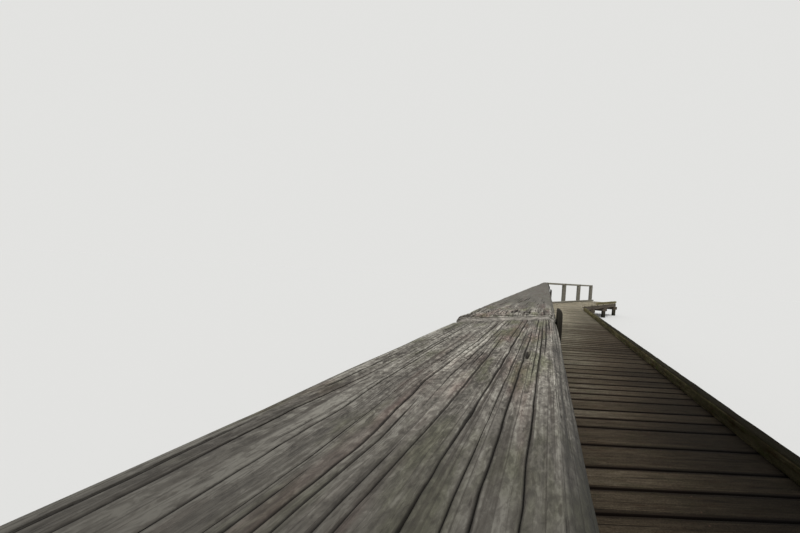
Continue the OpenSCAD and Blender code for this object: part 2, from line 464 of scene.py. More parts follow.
# Longest shift of the grain from one timber to the next
GRAIN_SHIFT = 60
# Tone at which wood counts as damp right through, and how much smoother it is there
DAMP_DEPTH = 0.9
DAMP_SMOOTH = 0.5
# Share of a field's reach, on each side of its zero line, that a valley takes
VALLEY_SHARE = 0.45
# Faces that meet at more than this angle meet in a sharp edge
SHARP_ANGLE = math.radians(48)
# Distances of the rings that close a timber's end, as shares of the way to its middle
END_RINGS = (0.06, 0.22, 0.45, 0.70)
# Rows that round a timber's end, as shares of the round
END_ROWS = (0.0, 0.12, 0.4, 1.0)
# Place in a field along a direction in which it is the same everywhere
ANYWHERE = np.zeros(1)


class Skin:
    """A closed skin round one timber, with what its material reads at each corner of the mesh."""

    def __init__(self):
        self.parts = []
        self.faces = []
        self.count = 0

    def add(self, points, grain, wear, place, damp):
        """Adds corners and gives the number of the first one."""
        self.parts.append((points, grain, wear, place, damp))
        self.count += len(points)
        return self.count - len(points)

    def join(self, timber):
        """Puts all corners into the world and gives the skin."""
        joined = [np.concatenate(each) for each in zip(*self.parts)]
        local, self.grain, self.wear, self.place, self.damp = joined
        self.points = timber.world(local)
        return self


def row_places(length, pitch, end_round, fine=()):
    """Distances of the rows from a timber's start, closer together at its ends and where fine asks for it."""
    places = [end_round * share for share in END_ROWS] + [length - end_round * share for share in END_ROWS]
    bounds = []
    reached = end_round
    for start, end, fine_pitch in fine:
        start, end = max(start, reached), min(end, length - end_round)
        bounds += [(reached, start, pitch), (start, end, fine_pitch)]
        reached = end
    bounds.append((reached, length - end_round, pitch))
    for start, end, step in bounds:
        if end > start:
            places.extend(np.linspace(start, end, max(2, int(round((end - start) / step)) + 1)))
    return np.unique(np.round(places, 6))


def skin_columns(outline, checks, column, shoulder):
    """Places of the columns round the section, each with its check's number, or -1, and the part of it."""
    base = outline.columns(column, max(column * UNDER_TIMES, UNDER_COLUMN))
    number = np.full(base.shape, -1)
    part = np.zeros(base.shape)
    for index, check in enumerate(checks):
        keep = np.abs(base - check.girth) > check.width / 2 + shoulder + column * COLUMN_MARGIN
        base = np.r_[base[keep], np.full(len(CHECK_COLUMNS), check.girth)]
        number = np.r_[number[keep], np.full(len(CHECK_COLUMNS), index)]
        part = np.r_[part[keep], CHECK_COLUMNS]
    order = np.lexsort((part, base))
    return base[order], number[order], part[order]


def weathered(timber, outline, look, rng, tone, checks=(), knots=(), column=None, row=None, fine=(),
              wander=0.003, wear_down=None, reshape=None, edge_wear=1.0, edge_reach=0.005,
              shoulder=CHECK_SHOULDER, slope=CHECK_SLOPE, end_round=0.004, damp=None):
    """Skin of one timber with its ridges, hollows, checks, knots and worn edges, all inside its own solid.

    Its tone and its damp are numbers, or functions of the places along it and round its section.
    """
    column = column or look.column
    length, girth = timber.length, outline.girth
    end_round = min(look.corner, end_round)
    along = row_places(length, row or look.row, end_round, fine)[:, None]
    base, number, part = skin_columns(outline, checks, column, shoulder)
    around = base[None, :]

    def field(cell_along, cell_round=girth):
        return Field(rng, length, girth, cell_along, cell_round)

    ridges = [(share, field(*cell)) for share, *cell in RIDGES]
    hollows, worn_edges, drifts = (field(*cell) for cell in (HOLLOW_CELL, EDGE_CELL, DRIFT_CELL))
    openings = field(OPENING_CELL)
    jags = [(share, field(*cell)) for share, *cell in JAGS]

    corner_gap = np.min(np.abs(base[:, None] - outline.corner_places[None, :]), axis=1)
    on_flat = smooth(corner_gap / WANDER_MARGIN)[None, :]
    edge = 1 - smooth(corner_gap / edge_reach)[None, :]
    drift = drifts.at(along, around) * wander * on_flat
    own, crack, lip, check_depth = np.zeros((4, len(along), len(base)))
    for index, check in enumerate(checks):
        moved = np.interp(along, *zip(*check.drift))
        drift = drift + moved * np.exp(-((around - check.girth) / DRIFT_REACH) ** 2)
        varied = openings.at(along + index * 0.37 % length, ANYWHERE)
        opened = check.opened(along) * (OPENING_EVEN + OPENING_VARIES * varied)
        width_share = np.interp(along, *zip(*check.widths))
        half = np.maximum(check.width * width_share * opened / 2, CLOSED_HALF)
        mine, beside, outermost = number == index, np.abs(part) == 1, np.abs(part) == 2
        offset = np.select([beside, outermost], [half, half + shoulder], 0) * np.sign(part)
        shifted = np.mod(along + index * 0.53, length)
        jag = sum(share * each.at(shifted, ANYWHERE) for share, each in jags)
        own = np.where(mine, offset, own)
        drift = np.where(mine, drift + offset + jag * min(check.width * 0.35, JAG_LIMIT), drift)
        floor = mine & (part == 0)
        sunk = check.depth * width_share * opened
        check_depth = np.where(floor, sunk, np.where(mine & beside, sunk * slope, check_depth))
        seen = smooth(opened * 2)
        crack = np.where(floor, seen, np.where(mine & beside, seen * WALL_SHADE, crack))
        # Painted highlight on the lips of open checks
        painted_light = CHECK_LIP_HIGHLIGHT * smooth((check.width - 0.0006) / 0.0012)
        lip = np.where(mine & outermost, seen * painted_light, lip)
    knot, sunk = np.zeros((2, len(along), len(base)))
    for each in knots:
        away = around - each.girth
        near = np.exp(-((along - each.along) / (each.radius * 3)) ** 2 - (away / (each.radius * 1.7)) ** 2)
        drift = drift + away * near * 0.25
        inside = np.hypot((along - each.along) / each.stretch, away + away * near) / each.radius
        mark = 1 - smooth((inside - 0.6) / 0.6)
        knot = np.maximum(knot, mark)
        sunk = np.maximum(sunk, mark * each.sunk)

    tone = np.broadcast_to(tone(along, around) if callable(tone) else tone, drift.shape)
    damp = smooth(-tone / DAMP_DEPTH) if damp is None else damp(along, around) + np.zeros(drift.shape)
    relief = sum(share * valley(each.at(along, around)) for share, each in ridges)
    relief = relief * (1 - KNOT_SMOOTH * knot) * (1 - DAMP_SMOOTH * damp)
    lip = lip * (1 - DAMP_SMOOTH * damp)
    depth = relief * look.ridge + (0.5 + 0.5 * hollows.at(along, around)) * look.hollow
    ragged = 0.25 + 0.75 * smooth(0.5 + worn_edges.at(along, around))
    depth = depth + edge * ragged * EDGE_DEPTH * edge_wear
    if wear_down is not None:
        down, relief = wear_down(along, around, relief)
        depth = depth + down
    depth = depth + check_depth + sunk
    from_end = np.minimum(along, length - along)
    depth = depth + end_round * (1 - np.sqrt(1 - (1 - np.clip(from_end / end_round, 0, 1)) ** 2)) * 0.8

    across, up = outline.place(around + drift)
    out_across, out_up = outline.outward(around + drift)
    across = across - out_across * depth
    up = up - out_up * depth
    if reshape is None:
        start, end = timber.span(across)
        length_at = start + (end - start) * along / length
    else:
        length_at = np.broadcast_to(timber.low[0] + along, depth.shape)
        across, up = reshape(length_at, across, up)
    body = np.stack((length_at, across, up), -1)

    smooth_across, smooth_up = outline.place(around + own)
    shift = rng.uniform(0, GRAIN_SHIFT)
    grain = np.stack((length_at - timber.low[0] + shift, smooth_across - timber.middle[1],
                      smooth_up - timber.middle[2]), -1)
    wear = np.stack((relief * (1 - lip) - lip, crack, knot), -1)
    place = np.stack((np.broadcast_to(edge, depth.shape), np.zeros(depth.shape), tone), -1)

    skin = Skin()
    skin.add(*(values.reshape(-1, 3) for values in (body, grain, wear, place)), damp.ravel())
    rows, columns = depth.shape
    first = np.arange(columns)
    following = (first + 1) % columns
    row_start = np.arange(rows - 1)[:, None] * columns
    quads = np.stack((row_start + first, row_start + columns + first, row_start + columns + following,
                      row_start + following), -1)
    skin.faces = quads.reshape(-1, 4).tolist()
    for at_row, inward in ((0, 1), (-1, -1)):
        outer = first if at_row == 0 else first + (rows - 1) * columns
        rough = Field(rng, 1, girth, *END_CELL)
        close_end(skin, timber, body[at_row], outer, inward, base, rough, grain[at_row, 0, 0], crack[at_row],
                  tone[at_row], damp[at_row])
    return skin.join(timber)


def close_end(skin, timber, rim, outer, inward, base, rough, grain_along, crack, tone, damp):
    centre = rim.mean(0)
    columns = len(rim)
    following = (np.arange(columns) + 1) % columns
    none = np.zeros(columns)
    for share in END_RINGS:
        sunk = (0.5 + 0.5 * rough.at(np.full(columns, share), base)) * END_DEPTH * smooth(share * 6)
        sunk = sunk + crack * END_CHECK_DEPTH * (1 - share / END_RINGS[-1])
        points = rim + (centre - rim) * share + np.stack((sunk * inward, none, none), -1)
        inside = points - timber.middle * (0, 1, 1)
        grain = np.stack((np.full(columns, grain_along), inside[:, 1], inside[:, 2]), -1)
        wear = np.stack((sunk / END_WORN, crack * (1 - share / END_RINGS[-1]), none), -1)
        place = np.stack((none, none + 1, tone), -1)
        inner = skin.add(points, grain, wear, place, damp) + np.arange(columns)
        corners = (outer, outer[following], inner[following], inner)
        skin.faces.extend(np.stack(corners[::inward], -1).tolist())
        outer = inner
    middle = skin.add(centre[None, :], np.array([[grain_along, 0, 0]]), np.array([[0.3, 0, 0]]),
                      np.array([[0, 1, tone.mean()]]), damp.mean(keepdims=True))
    fan = (outer, outer[following], np.full(columns, middle))
    skin.faces.extend(np.stack(fan[::inward], -1).tolist())


def clear_of(girth, checks, pitch=CHECK_PITCH):
    return all(abs(girth - check.girth) > pitch for check in checks)


def random_checks(timber, outline, look, rng, faces=("top",)):
    """Checks spread over the faces that dry out, longer than they are deep, some of them open at an end."""
    made = []
    for _ in range(look.checks):
        face = faces[rng.integers(len(faces))]
        share = rng.uniform(0.12, 0.88)
        if face == "top":
            girth = outline.top(timber.low[1] + timber.width * share)
        else:
            side = timber.width / 2 + timber.height * (0.2 + 0.6 * share)
            girth = side if face == "far" else outline.girth - side
        size = timber.length * rng.uniform(0.15, 0.5)
        start = rng.choice((-0.1, rng.uniform(0, timber.length - size), timber.length - size + 0.1))
        strength = rng.uniform(0.35, 1.0)
        if clear_of(girth, made):
            made.append(Check(girth, ((start, start + size),), look.check_width * strength,
                              look.check_depth * strength))
    return made


def random_knots(timber, outline, rng, count, smallest, largest):
    """Knots on the upper face."""
    return [Knot(rng.uniform(0.05, 0.95) * timber.length,
                 outline.top(timber.low[1] + timber.width * rng.uniform(0.15, 0.85)),
                 rng.uniform(smallest, largest)) for _ in range(count)]


def add_piece(name, mesh, material, nodes=()):
    """Adds a mesh as a piece, which stands for the CAD nodes that are named."""
    mesh.materials.append(material)
    piece = bpy.data.objects.new(name, mesh)
    bpy.context.scene.collection.objects.link(piece)
    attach(piece, BODY)
    if nodes:
        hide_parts(*nodes)


def add_timbers(name, skins, material, nodes):
    """Joins skins into one piece that stands for CAD nodes."""
    faces = []
    base = 0
    for skin in skins:
        faces.extend([[corner + base for corner in face] for face in skin.faces])
        base += skin.count
    mesh = bpy.data.meshes.new(name)
    mesh.from_pydata(np.concatenate([skin.points for skin in skins]).tolist(), [], faces)
    for title, kind, field in (("grain", "FLOAT_VECTOR", "vector"), ("wear", "FLOAT_VECTOR", "vector"),
                               ("place", "FLOAT_VECTOR", "vector"), ("damp", "FLOAT", "value")):
        values = np.concatenate([getattr(skin, title) for skin in skins])
        mesh.attributes.new(title, kind, "POINT").data.foreach_set(field, values.astype(np.float32).ravel())
    mesh.shade_smooth()
    mesh.set_sharp_from_angle(angle=SHARP_ANGLE)
    add_piece(name, mesh, material, nodes)


# Materials

class Wiring:
    """Short ways to add and link the nodes of a tree."""

    def __init__(self, tree):
        self.tree = tree
        self.tree.nodes.clear()

    def feed(self, socket, value):
        if isinstance(value, bpy.types.NodeSocket):
            self.tree.links.new(value, socket)
        elif hasattr(value, "__len__") and len(value) == 3 and socket.type == "RGBA":
            socket.default_value = (*value, 1)
        else:
            socket.default_value = value

    def node(self, kind, inputs=(), **settings):
        made = self.tree.nodes.new(kind)
        for setting, value in settings.items():
            setattr(made, setting, value)
        for socket, value in dict(inputs).items():
            self.feed(made.inputs[socket], value)
        return made

    def math(self, operation, first, second=0.5, third=0.0, **settings):
        return self.node("ShaderNodeMath", {0: first, 1: second, 2: third}, operation=operation,
                         **settings).outputs[0]

    def times(self, first, second):
        return self.math("MULTIPLY", first, second)

    def times_plus(self, value, factor, added):
        return self.math("MULTIPLY_ADD", value, factor, added)


class Recipe(Wiring):
    """A material, made from noises and from what the skins carry."""

    def __init__(self, name):
        self.material = bpy.data.materials.new(name)
        self.material.use_nodes = True
        super().__init__(self.material.node_tree)

    def carried(self, name):
        """An attribute of the skin."""
        return self.node("ShaderNodeAttribute", attribute_name=name).outputs

    def split(self, vector):
        return self.node("ShaderNodeSeparateXYZ", {0: vector}).outputs

    def vectors(self, operation, inputs):
        return self.node("ShaderNodeVectorMath", inputs, operation=operation).outputs[0]

    def noise(self, vector, detail, roughness, distortion=0.0):
        return self.node("ShaderNodeTexNoise", {"Vector": vector, "Scale": 1.0, "Detail": detail,
                                                "Roughness": roughness,
                                                "Distortion": distortion}).outputs["Fac"]

    def between(self, value, low, high, to_low=0.0, to_high=1.0):
        """A smooth step of a value between two limits."""
        return self.node("ShaderNodeMapRange", {"Value": value, "From Min": low, "From Max": high,
                                                "To Min": to_low, "To Max": to_high},
                         interpolation_type="SMOOTHSTEP").outputs["Result"]

    def weighted(self, terms):
        """A middling value plus each noise's distance from its mean, times its weight."""
        total = 0.5 - 0.5 * sum(weight for _, weight in terms)
        for noise, weight in terms:
            total = self.times_plus(noise, weight, total)
        return total

    def line(self, noise, width):
        """1 along the lines where a noise passes through its mean, which wander and break as cracks do."""
        away = self.math("ABSOLUTE", self.math("SUBTRACT", noise, 0.5))
        return self.between(away, width, width * 0.15)

    def mix(self, share, first, second, blend="MIX"):
        made = self.node("ShaderNodeMix", data_type="RGBA", blend_type=blend, clamp_factor=True)
        for number, value in ((0, share), (6, first), (7, second)):
            self.feed(made.inputs[number], value)
        return made.outputs[2]

    def bump(self, strength, distance, height):
        return self.node("ShaderNodeBump", {"Strength": strength, "Distance": distance,
                                            "Height": height}).outputs[0]

    def finish(self, colour, roughness, normal, specular, metallic=0.0):
        shader = self.node("ShaderNodeBsdfPrincipled", {"Base Color": colour, "Roughness": roughness,
                                                        "Specular IOR Level": specular,
                                                        "Metallic": metallic})
        if normal is not None:
            self.feed(shader.inputs["Normal"], normal)
        self.node("ShaderNodeOutputMaterial", {"Surface": shader.outputs[0]})
        return self.material


# Noises of the wood: cells a metre along and across its grain, detail, roughness, distortion, and a shift
# that keeps each apart from the others
NOISES = {
    "fibres": (9, 900, 2.0, 0.55, 0.0, (0, 0, 0)),
    "mottle": (130, 330, 4.0, 0.68, 0.4, (5, 1, 2)),
    "streaks": (1.4, 120, 3.0, 0.60, 0.1, (1, 7, 3)),
    "bands": (0.8, 22, 2.0, 0.50, 0.0, (3, 3, 9)),
    "blotches": (11, 48, 3.0, 0.64, 0.4, (2, 8, 4)),
    "patches": (8, 30, 4.0, 0.62, 0.0, (2, 2, 5)),
    "warmth": (6, 42, 3.0, 0.60, 0.0, (8, 4, 1)),
    "breaks": (2.5, 45, 2.0, 0.50, 0.0, (6, 6, 6)),
    "broad hairlines": (0.8, 105, 1.5, 0.50, 0.05, (4, 9, 1)),
    "fine hairlines": (2.2, 270, 1.5, 0.50, 0.05, (9, 2, 4)),
    "pits": (75, 420, 1.0, 0.50, 0.0, (7, 5, 8)),
}
# How much the noises lighten and darken the wood, and how much they lift its fine bump
VALUE_WEIGHTS = {"fibres": 0.45, "mottle": 1.30, "streaks": 0.55, "bands": 0.45, "blotches": 0.60}
BUMP_WEIGHTS = {"fibres": 0.35, "mottle": 0.8, "streaks": 0.5}
# Half the width of the broad and the fine hairlines, as a share of their noise's reach
BROAD_HAIRLINE = 0.022
FINE_HAIRLINE = 0.030
# Rings of the end grain: how many there are, and where their heart lies
RING_SCALE = 55.0
RING_HEART = (0, 0.01, 0.06)
# Depth of the wood's fine bump
BUMP_DEPTH = 0.0014
# How far over its damp height the wood starts to darken and is fully wet, and the colour that it gets there
WET_FROM = 0.22
WET_TO = -0.02
WET_COLOUR = srgb(30, 32, 22)
# Tone to which the wood's tints for damp and dry places reach
TINT_REACH = 1.2


def darkened(colour):
    return [value * 0.45 for value in colour]


def wood(name, look, crack, moss, moss_share, blush, blush_share, end_colour, fineness=0.7, contrast=0.8,
         hairlines=1.0, bump=0.6, side_shade_share=0.0, side_shade_colour=(0.01, 0.009, 0.007), side_shade_reach=(0.94, 0.45),
         damp_height=0.0, dull=0.88, sheen=0.25, calm=0.45, edge_wear_and_shade=0.10, damp_tint=(1, 1, 1),
         dry_tint=(1, 1, 1), ring_share=0.55):
    """Weathered wood whose fibres, flecks and hairlines follow the grain that each skin carries.

    Calm is the share of its light and dark streaks that the wood loses where it is damp. Side shade reach
    says how far a face may lean before it counts as a side, which is darkened by its share as painted shade.
    """
    recipe = Recipe(name)
    times, times_plus, between, mix = recipe.times, recipe.times_plus, recipe.between, recipe.mix
    grain = recipe.carried("grain")["Vector"]
    relief, cracked, knotted = recipe.split(recipe.carried("wear")["Vector"])
    edge, ended, tone = recipe.split(recipe.carried("place")["Vector"])
    damp = recipe.carried("damp")["Fac"]
    surface = recipe.node("ShaderNodeNewGeometry").outputs

    def layer(title):
        along, across, detail, rough, distortion, shift = NOISES[title]
        cells = (along, across * fineness, across * fineness)
        return recipe.noise(recipe.vectors("MULTIPLY_ADD", {0: grain, 1: cells, 2: shift}), detail, rough,
                            distortion)

    # The wood's own light and dark
    layers = {title: layer(title) for title in VALUE_WEIGHTS}
    mottle, streaks = layers["mottle"], layers["streaks"]
    weights = [(layers[title], weight * contrast) for title, weight in VALUE_WEIGHTS.items()]
    # Relief darkens the wood; it carries the painted highlight on check lips and the painted shade in the
    # second plank's pits
    value = times_plus(relief, -0.22 * contrast, recipe.weighted(weights))
    # Worn edges lighten; where this edge value is negative, as on the boards, it paints shade in the gaps
    # between them
    value = times_plus(times(edge, times_plus(streaks, 1.6, 0.2)), edge_wear_and_shade, value)
    colour = mix(between(value, 0.18, 0.50), look.dark, look.body)
    colour = mix(between(value, 0.46, 0.80), colour, look.pale)
    colour = mix(times(damp, calm), colour, look.body)

    # Moss, and the warm blush of sounder wood
    growth = times(between(layer("patches"), 0.48, 0.66), moss_share)
    growth = times(growth, times_plus(damp, -0.5 * calm, 1.0))
    colour = mix(growth, colour, mix(between(mottle, 0.35, 0.65), darkened(moss), moss))
    colour = mix(times(between(layer("warmth"), 0.50, 0.72), blush_share), colour, blush, "SOFT_LIGHT")

    # Hairlines and pits
    breaks = layer("breaks")
    broad = times(recipe.line(layer("broad hairlines"), BROAD_HAIRLINE), between(breaks, 0.44, 0.52))
    fine = times(recipe.line(layer("fine hairlines"), FINE_HAIRLINE), between(breaks, 0.60, 0.46))
    hair = times(recipe.math("MAXIMUM", broad, times(fine, 0.7)), hairlines)
    marks = recipe.math("MAXIMUM", hair, times(between(layer("pits"), 0.34, 0.26), hairlines))
    marks = times(marks, times_plus(damp, -calm, 1.0))
    colour = mix(times(marks, 0.78), colour, crack)

    # End grain, knots and open checks
    rings = recipe.vectors("MULTIPLY_ADD", {0: grain, 1: (0.2, 1, 1), 2: RING_HEART})
    rings = recipe.node("ShaderNodeTexWave", {"Vector": rings, "Scale": RING_SCALE, "Distortion": 1.5,
                                              "Detail": 2.0, "Detail Scale": 6.0},
                        wave_type="RINGS", rings_direction="X").outputs["Fac"]
    sawn = mix(times_plus(rings, ring_share, 0.60 - ring_share), look.body, end_colour)
    sawn = mix(between(mottle, 0.34, 0.50, 0.40, 0.0), sawn, crack)
    colour = mix(ended, colour, sawn)
    colour = mix(times(knotted, 0.80), colour, crack)
    # Open checks darken towards the crack colour, as painted shade down in them over the darker wood there
    colour = mix(recipe.math("POWER", cracked, 0.55), colour, crack)

    # Painted shade on the sides, a wet foot, and the tone that the skin gives, with its painted shade and
    # light
    if side_shade_share:
        side = times(between(recipe.split(surface["Normal"])[2], *side_shade_reach), side_shade_share)
        colour = mix(times(side, recipe.math("SUBTRACT", 1.0, ended)), colour, side_shade_colour)
    if damp_height:
        height = times_plus(streaks, 0.25, recipe.split(surface["Position"])[2])
        wet = between(height, damp_height + WET_FROM, damp_height + WET_TO)
        colour = mix(times(wet, 0.75), colour, WET_COLOUR)
    tint = mix(between(tone, -TINT_REACH, TINT_REACH), damp_tint, dry_tint)
    colour = recipe.vectors("MULTIPLY", {0: colour, 1: tint})
    colour = recipe.vectors("SCALE", {0: colour, "Scale": recipe.math("POWER", 2.0, tone)})

    lift = recipe.weighted([(layers[title], weight) for title, weight in BUMP_WEIGHTS.items()])
    lift = times_plus(times(rings, ended), ring_share, times_plus(marks, -1.0, lift))
    normal = recipe.bump(times_plus(damp, -0.8 * calm * bump, bump), BUMP_DEPTH, lift)
    roughness = between(value, 0.2, 0.9, dull - 0.10, min(dull + 0.06, 1.0))
    return recipe.finish(colour, roughness, normal, sheen)


# Each wood: the settings that hold its own colours, and the rest of its finish
WOODS = {
    "weathered_cap_wood": ("cap", dict(
        crack=srgb(66, 59, 52), moss=srgb(112, 113, 86), moss_share=0.70, blush=srgb(152, 119, 121),
        blush_share=0.65, end_colour=srgb(214, 207, 196), fineness=1.0, contrast=1.15, bump=0.80,
        side_shade_share=0.70, calm=0.70, ring_share=0.08)),
    "dried_rail_wood": ("cap", dict(
        crack=srgb(58, 51, 45), moss=srgb(138, 144, 104), moss_share=0.60, blush=srgb(150, 130, 110),
        blush_share=0.30, end_colour=srgb(204, 198, 186), fineness=1.0, bump=0.5)),
    "trodden_board_wood": ("board", dict(
        crack=srgb(14, 12, 10), moss=srgb(78, 78, 56), moss_share=0.30, blush=srgb(130, 92, 72),
        blush_share=0.40, end_colour=srgb(78, 70, 58), contrast=0.85, bump=0.45, side_shade_share=0.97,
        side_shade_colour=(0.0065, 0.0038, 0.0026), side_shade_reach=(0.985, 0.80), sheen=0.05, calm=0.1,
        edge_wear_and_shade=-0.60, damp_tint=(1.04, 0.99, 0.92), dry_tint=(0.93, 1.03, 1.06))),
    "mossy_kerb_wood": ("kerb", dict(
        crack=srgb(18, 16, 12), moss=srgb(72, 76, 40), moss_share=0.95, blush=srgb(124, 88, 66),
        blush_share=0.75, end_colour=srgb(100, 90, 72), contrast=0.9, hairlines=0.8, bump=0.75,
        side_shade_share=0.15, dull=0.86, sheen=0.03)),
    "damp_post_wood": ("post", dict(
        crack=srgb(12, 10, 8), moss=srgb(62, 64, 42), moss_share=0.5, blush=srgb(112, 86, 70),
        blush_share=0.5, end_colour=srgb(52, 46, 38), contrast=0.9, hairlines=0.9, bump=0.75,
        damp_height=0.22, dull=0.90, sheen=0.06)),
    "sawn_frame_wood": ("frame", dict(
        crack=srgb(16, 13, 10), moss=srgb(64, 64, 44), moss_share=0.35, blush=srgb(122, 92, 66),
        blush_share=0.6, end_colour=srgb(112, 98, 80), fineness=0.6, hairlines=0.7)),
}


def timber_wood(name):
    """A wood, made the first time that it is asked for."""
    group, finish = WOODS[name]
    return bpy.data.materials.get(name) or wood(name, settings(group), **finish)


def metal(name, base, rust, share):
    """Weathered steel with rust in patches."""
    recipe = Recipe(name)
    place = recipe.node("ShaderNodeNewGeometry").outputs["Position"]

    def noise(cells, detail, roughness):
        spread = recipe.vectors("MULTIPLY_ADD", {0: place, 1: (cells,) * 3, 2: (0, 0, 0)})
        return recipe.noise(spread, detail, roughness)

    patches, grit = noise(90, 4, 0.65), noise(900, 2, 0.6)
    rusted = recipe.between(patches, 0.62 - share * 0.35, 0.72 - share * 0.35)
    colour = recipe.mix(rusted, base, recipe.mix(grit, rust, darkened(rust)))
    roughness = recipe.between(rusted, 0.0, 1.0, 0.5, 0.92)
    return recipe.finish(colour, roughness, recipe.bump(0.4, 0.0005, grit), 0.4, 0.35)


def settings(name):
    return getattr(bpy.context.scene, "jetty_" + name)


# Pieces

def bays(name, stem):
    """The name of each bay's piece with the node that it stands for."""
    return [(f"{name}_{number + 1}", node) for number, node in enumerate(bay_nodes(stem))]


def build(pieces, wood_name, seed, stride, skin_of, found=timbers_of, dried=False):
    """Makes a piece of each node's timbers. Where asked for, the rail's last bay is of lighter wood, which
    paints the light on its faces.

    A skin is made from its timber, its piece's number and its own random numbers.
    """
    for number, (name, node) in enumerate(pieces):
        skins = [skin_of(timber, number, np.random.default_rng(seed + number * stride + place))
                 for place, timber in enumerate(found(node))]
        # The rail's last bay gets painted light
        painted_light = dried and number == BAYS - 1
        add_timbers(name, skins, timber_wood("dried_rail_wood" if painted_light else wood_name), [node])


def plain_skin(look, faces, roundness, tones, wander):
    """Makes skins of timbers that have only weathered, each with a tone between two limits."""
    def skin(timber, number, rng):
        outline = Outline(timber, plain_corners(look.corner, roundness))
        checks = random_checks(timber, outline, look, rng, faces)
        return weathered(timber, outline, look, rng, rng.uniform(*tones), checks, wander=wander)

    return skin


# The first plank's checks, as the weather left them: distance from the outer edge, start and end before the
# splice's end at the deck side, width, depth, and drift towards the deck by distance before the splice
FIRST_PLANK_CHECKS = (
    (0.1112, 1.60, -0.25, 0.0022, 0.0046, ((0.65, 0.0), (0.53, 0.0014), (0.41, 0.0029), (0.16, 0.0063))),
    (0.1224, 1.30, 0.10, 0.0012, 0.0030, ()),
    (0.1305, 1.45, 0.15, 0.0018, 0.0040, ()),
    (0.1456, 1.45, 0.00, 0.0015, 0.0036, ((0.55, 0.0), (0.33, 0.0016))),
    (0.0725, 1.30, 0.02, 0.0015, 0.0034, ((0.70, -0.001), (0.65, 0.0015), (0.54, -0.004), (0.36, 0.0005))),
    (0.0945, 1.50, 0.20, 0.0015, 0.0034, ((0.71, -0.001), (0.60, 0.0020), (0.54, 0.0030), (0.32, 0.0015))),
    (0.0430, 1.40, 0.35, 0.0012, 0.0028, ((0.64, 0.0), (0.61, 0.0013), (0.55, -0.0020))),
    (0.0225, 2.20, 0.30, 0.0014, 0.0032, ((0.61, -0.0007), (0.55, 0.0027))),
    (0.1365, 0.30, -0.10, 0.0013, 0.0034, ()),
    (0.1412, 0.56, 0.12, 0.0011, 0.0030, ()),
    (0.1512, 0.42, 0.04, 0.0012, 0.0034, ()),
    (0.1566, 0.24, -0.06, 0.0013, 0.0036, ()),
    (0.1040, 0.38, -0.05, 0.0011, 0.0034, ()),
    (0.0830, 0.62, 0.05, 0.0010, 0.0030, ()),
    (0.0330, 0.52, 0.10, 0.0011, 0.0030, ()),
    (0.0600, 0.90, 0.24, 0.0009, 0.0022, ()),
    (0.1000, 3.60, 1.90, 0.0024, 0.0100, ()),
    (0.0500, 3.90, 2.30, 0.0022, 0.0100, ()),
)
# Shares of their full width that they have at distances before the splice
CHECK_WIDTHS = ((0.80, 0.50), (0.45, 0.78), (0.15, 1.0))
# Fine checks tried between them, where they may lie from the outer edge, the least distance from one check to
# the next, and the length before the splice on which they open
HAIR_CHECKS = 60
HAIR_STRIP = (0.006, 0.162)
HAIR_PITCH = 0.0046
HAIR_REACH = 1.2
# Knots and pits of the first plank: distance before the splice, distance from the outer edge, radius, length
# for that width, and depth
FIRST_PLANK_KNOTS = ((0.428, 0.1335, 0.0040, 4.5, 0.007), (2.45, 0.0900, 0.0110, 1.3, 0.0))
# How dark the first plank is near the camera's place, as painted shade over its damp wood, where that shade
# and damp fade out before its end, and how light it is at that end
DAMP_SHADE_TONE = -1.5
DAMP_AND_SHADE_REACH = (0.84, 0.44)
END_TONE = 0.22
# How much darker the first plank is along its outer edge, and how far in that reaches
OUTER_TONE = -0.45
OUTER_REACH = 0.11
# Where its bevel starts from the outer edge, and how much darker it is as painted shade
BEVEL_START = 0.160
BEVEL_SHADE_TONE = -0.95
# Shoulder of the first plank's checks and how far down it slopes, which is more than elsewhere
WORN_SHOULDER = 0.0008
WORN_SLOPE = 0.30
# How far the first plank is worn down at its splice, and over what length
SPLICE_WEAR = 0.0020
SPLICE_REACH = 0.03
# Painted shade in the open joint: how dark, how far it spreads from the plank's end, from where it fills the
# joint, and the width of its patches elsewhere
JOINT_SHADE_TONE = -2.2
JOINT_REACH = 0.024
JOINT_FILL = 0.142
JOINT_PATCH = 0.022
# The second plank starts with a smooth step, then a ragged edge and broken grain: how deep the step and the
# edge are worn, where they lie, where the broken grain fades out, and the short checks in it
STEP_WEAR = 0.0026
STEP_LENGTH = 0.011
EDGE_PIT = 0.0036
BROKEN_WEAR = 0.0018
BROKEN_START = 0.12
BROKEN_PATCH = 0.30
SHORT_CHECKS = 16
# Its one knot that shows: its place past the splice and from the outer edge, and its radius
SECOND_PLANK_KNOT = (0.455, 0.150, 0.006)
# How light the second plank is at its start, how dark further on, and where it has become so
START_TONE = 0.25
FURTHER_TONE = -0.80
FURTHER_REACH = 0.60
# How much its colour varies in streaks before that
STREAK_TONE = 0.55
# How light the planks past it are
PLANK_TONES = (-1.05, -0.80)
# How light the rail and its posts are beyond the bend, where light on their faces is painted in
OPEN_LIT_TONE = -0.1
OPEN_POST_LIT_TONE = -0.6


def cap_outline(timber, look):
    keep = (0.004, 0.004, 1.0)
    outer = (look.corner, look.corner, 1.0)
    return Outline(timber, (keep, (look.bevel_across, look.bevel_down, 0.2), outer, keep))


def hair_check(girth, length, rng):
    """A fine check that opens and closes again and again on the last stretch before the splice."""
    stretches = []
    reached = length - HAIR_REACH * rng.uniform(0.8, 1.0)
    while reached < length:
        size = rng.uniform(0.05, 0.20)
        stretches.append((reached, reached + size))
        reached += size + rng.uniform(0.0, 0.22)
    return Check(girth, stretches, rng.uniform(0.0005, 0.0010), 0.0024)


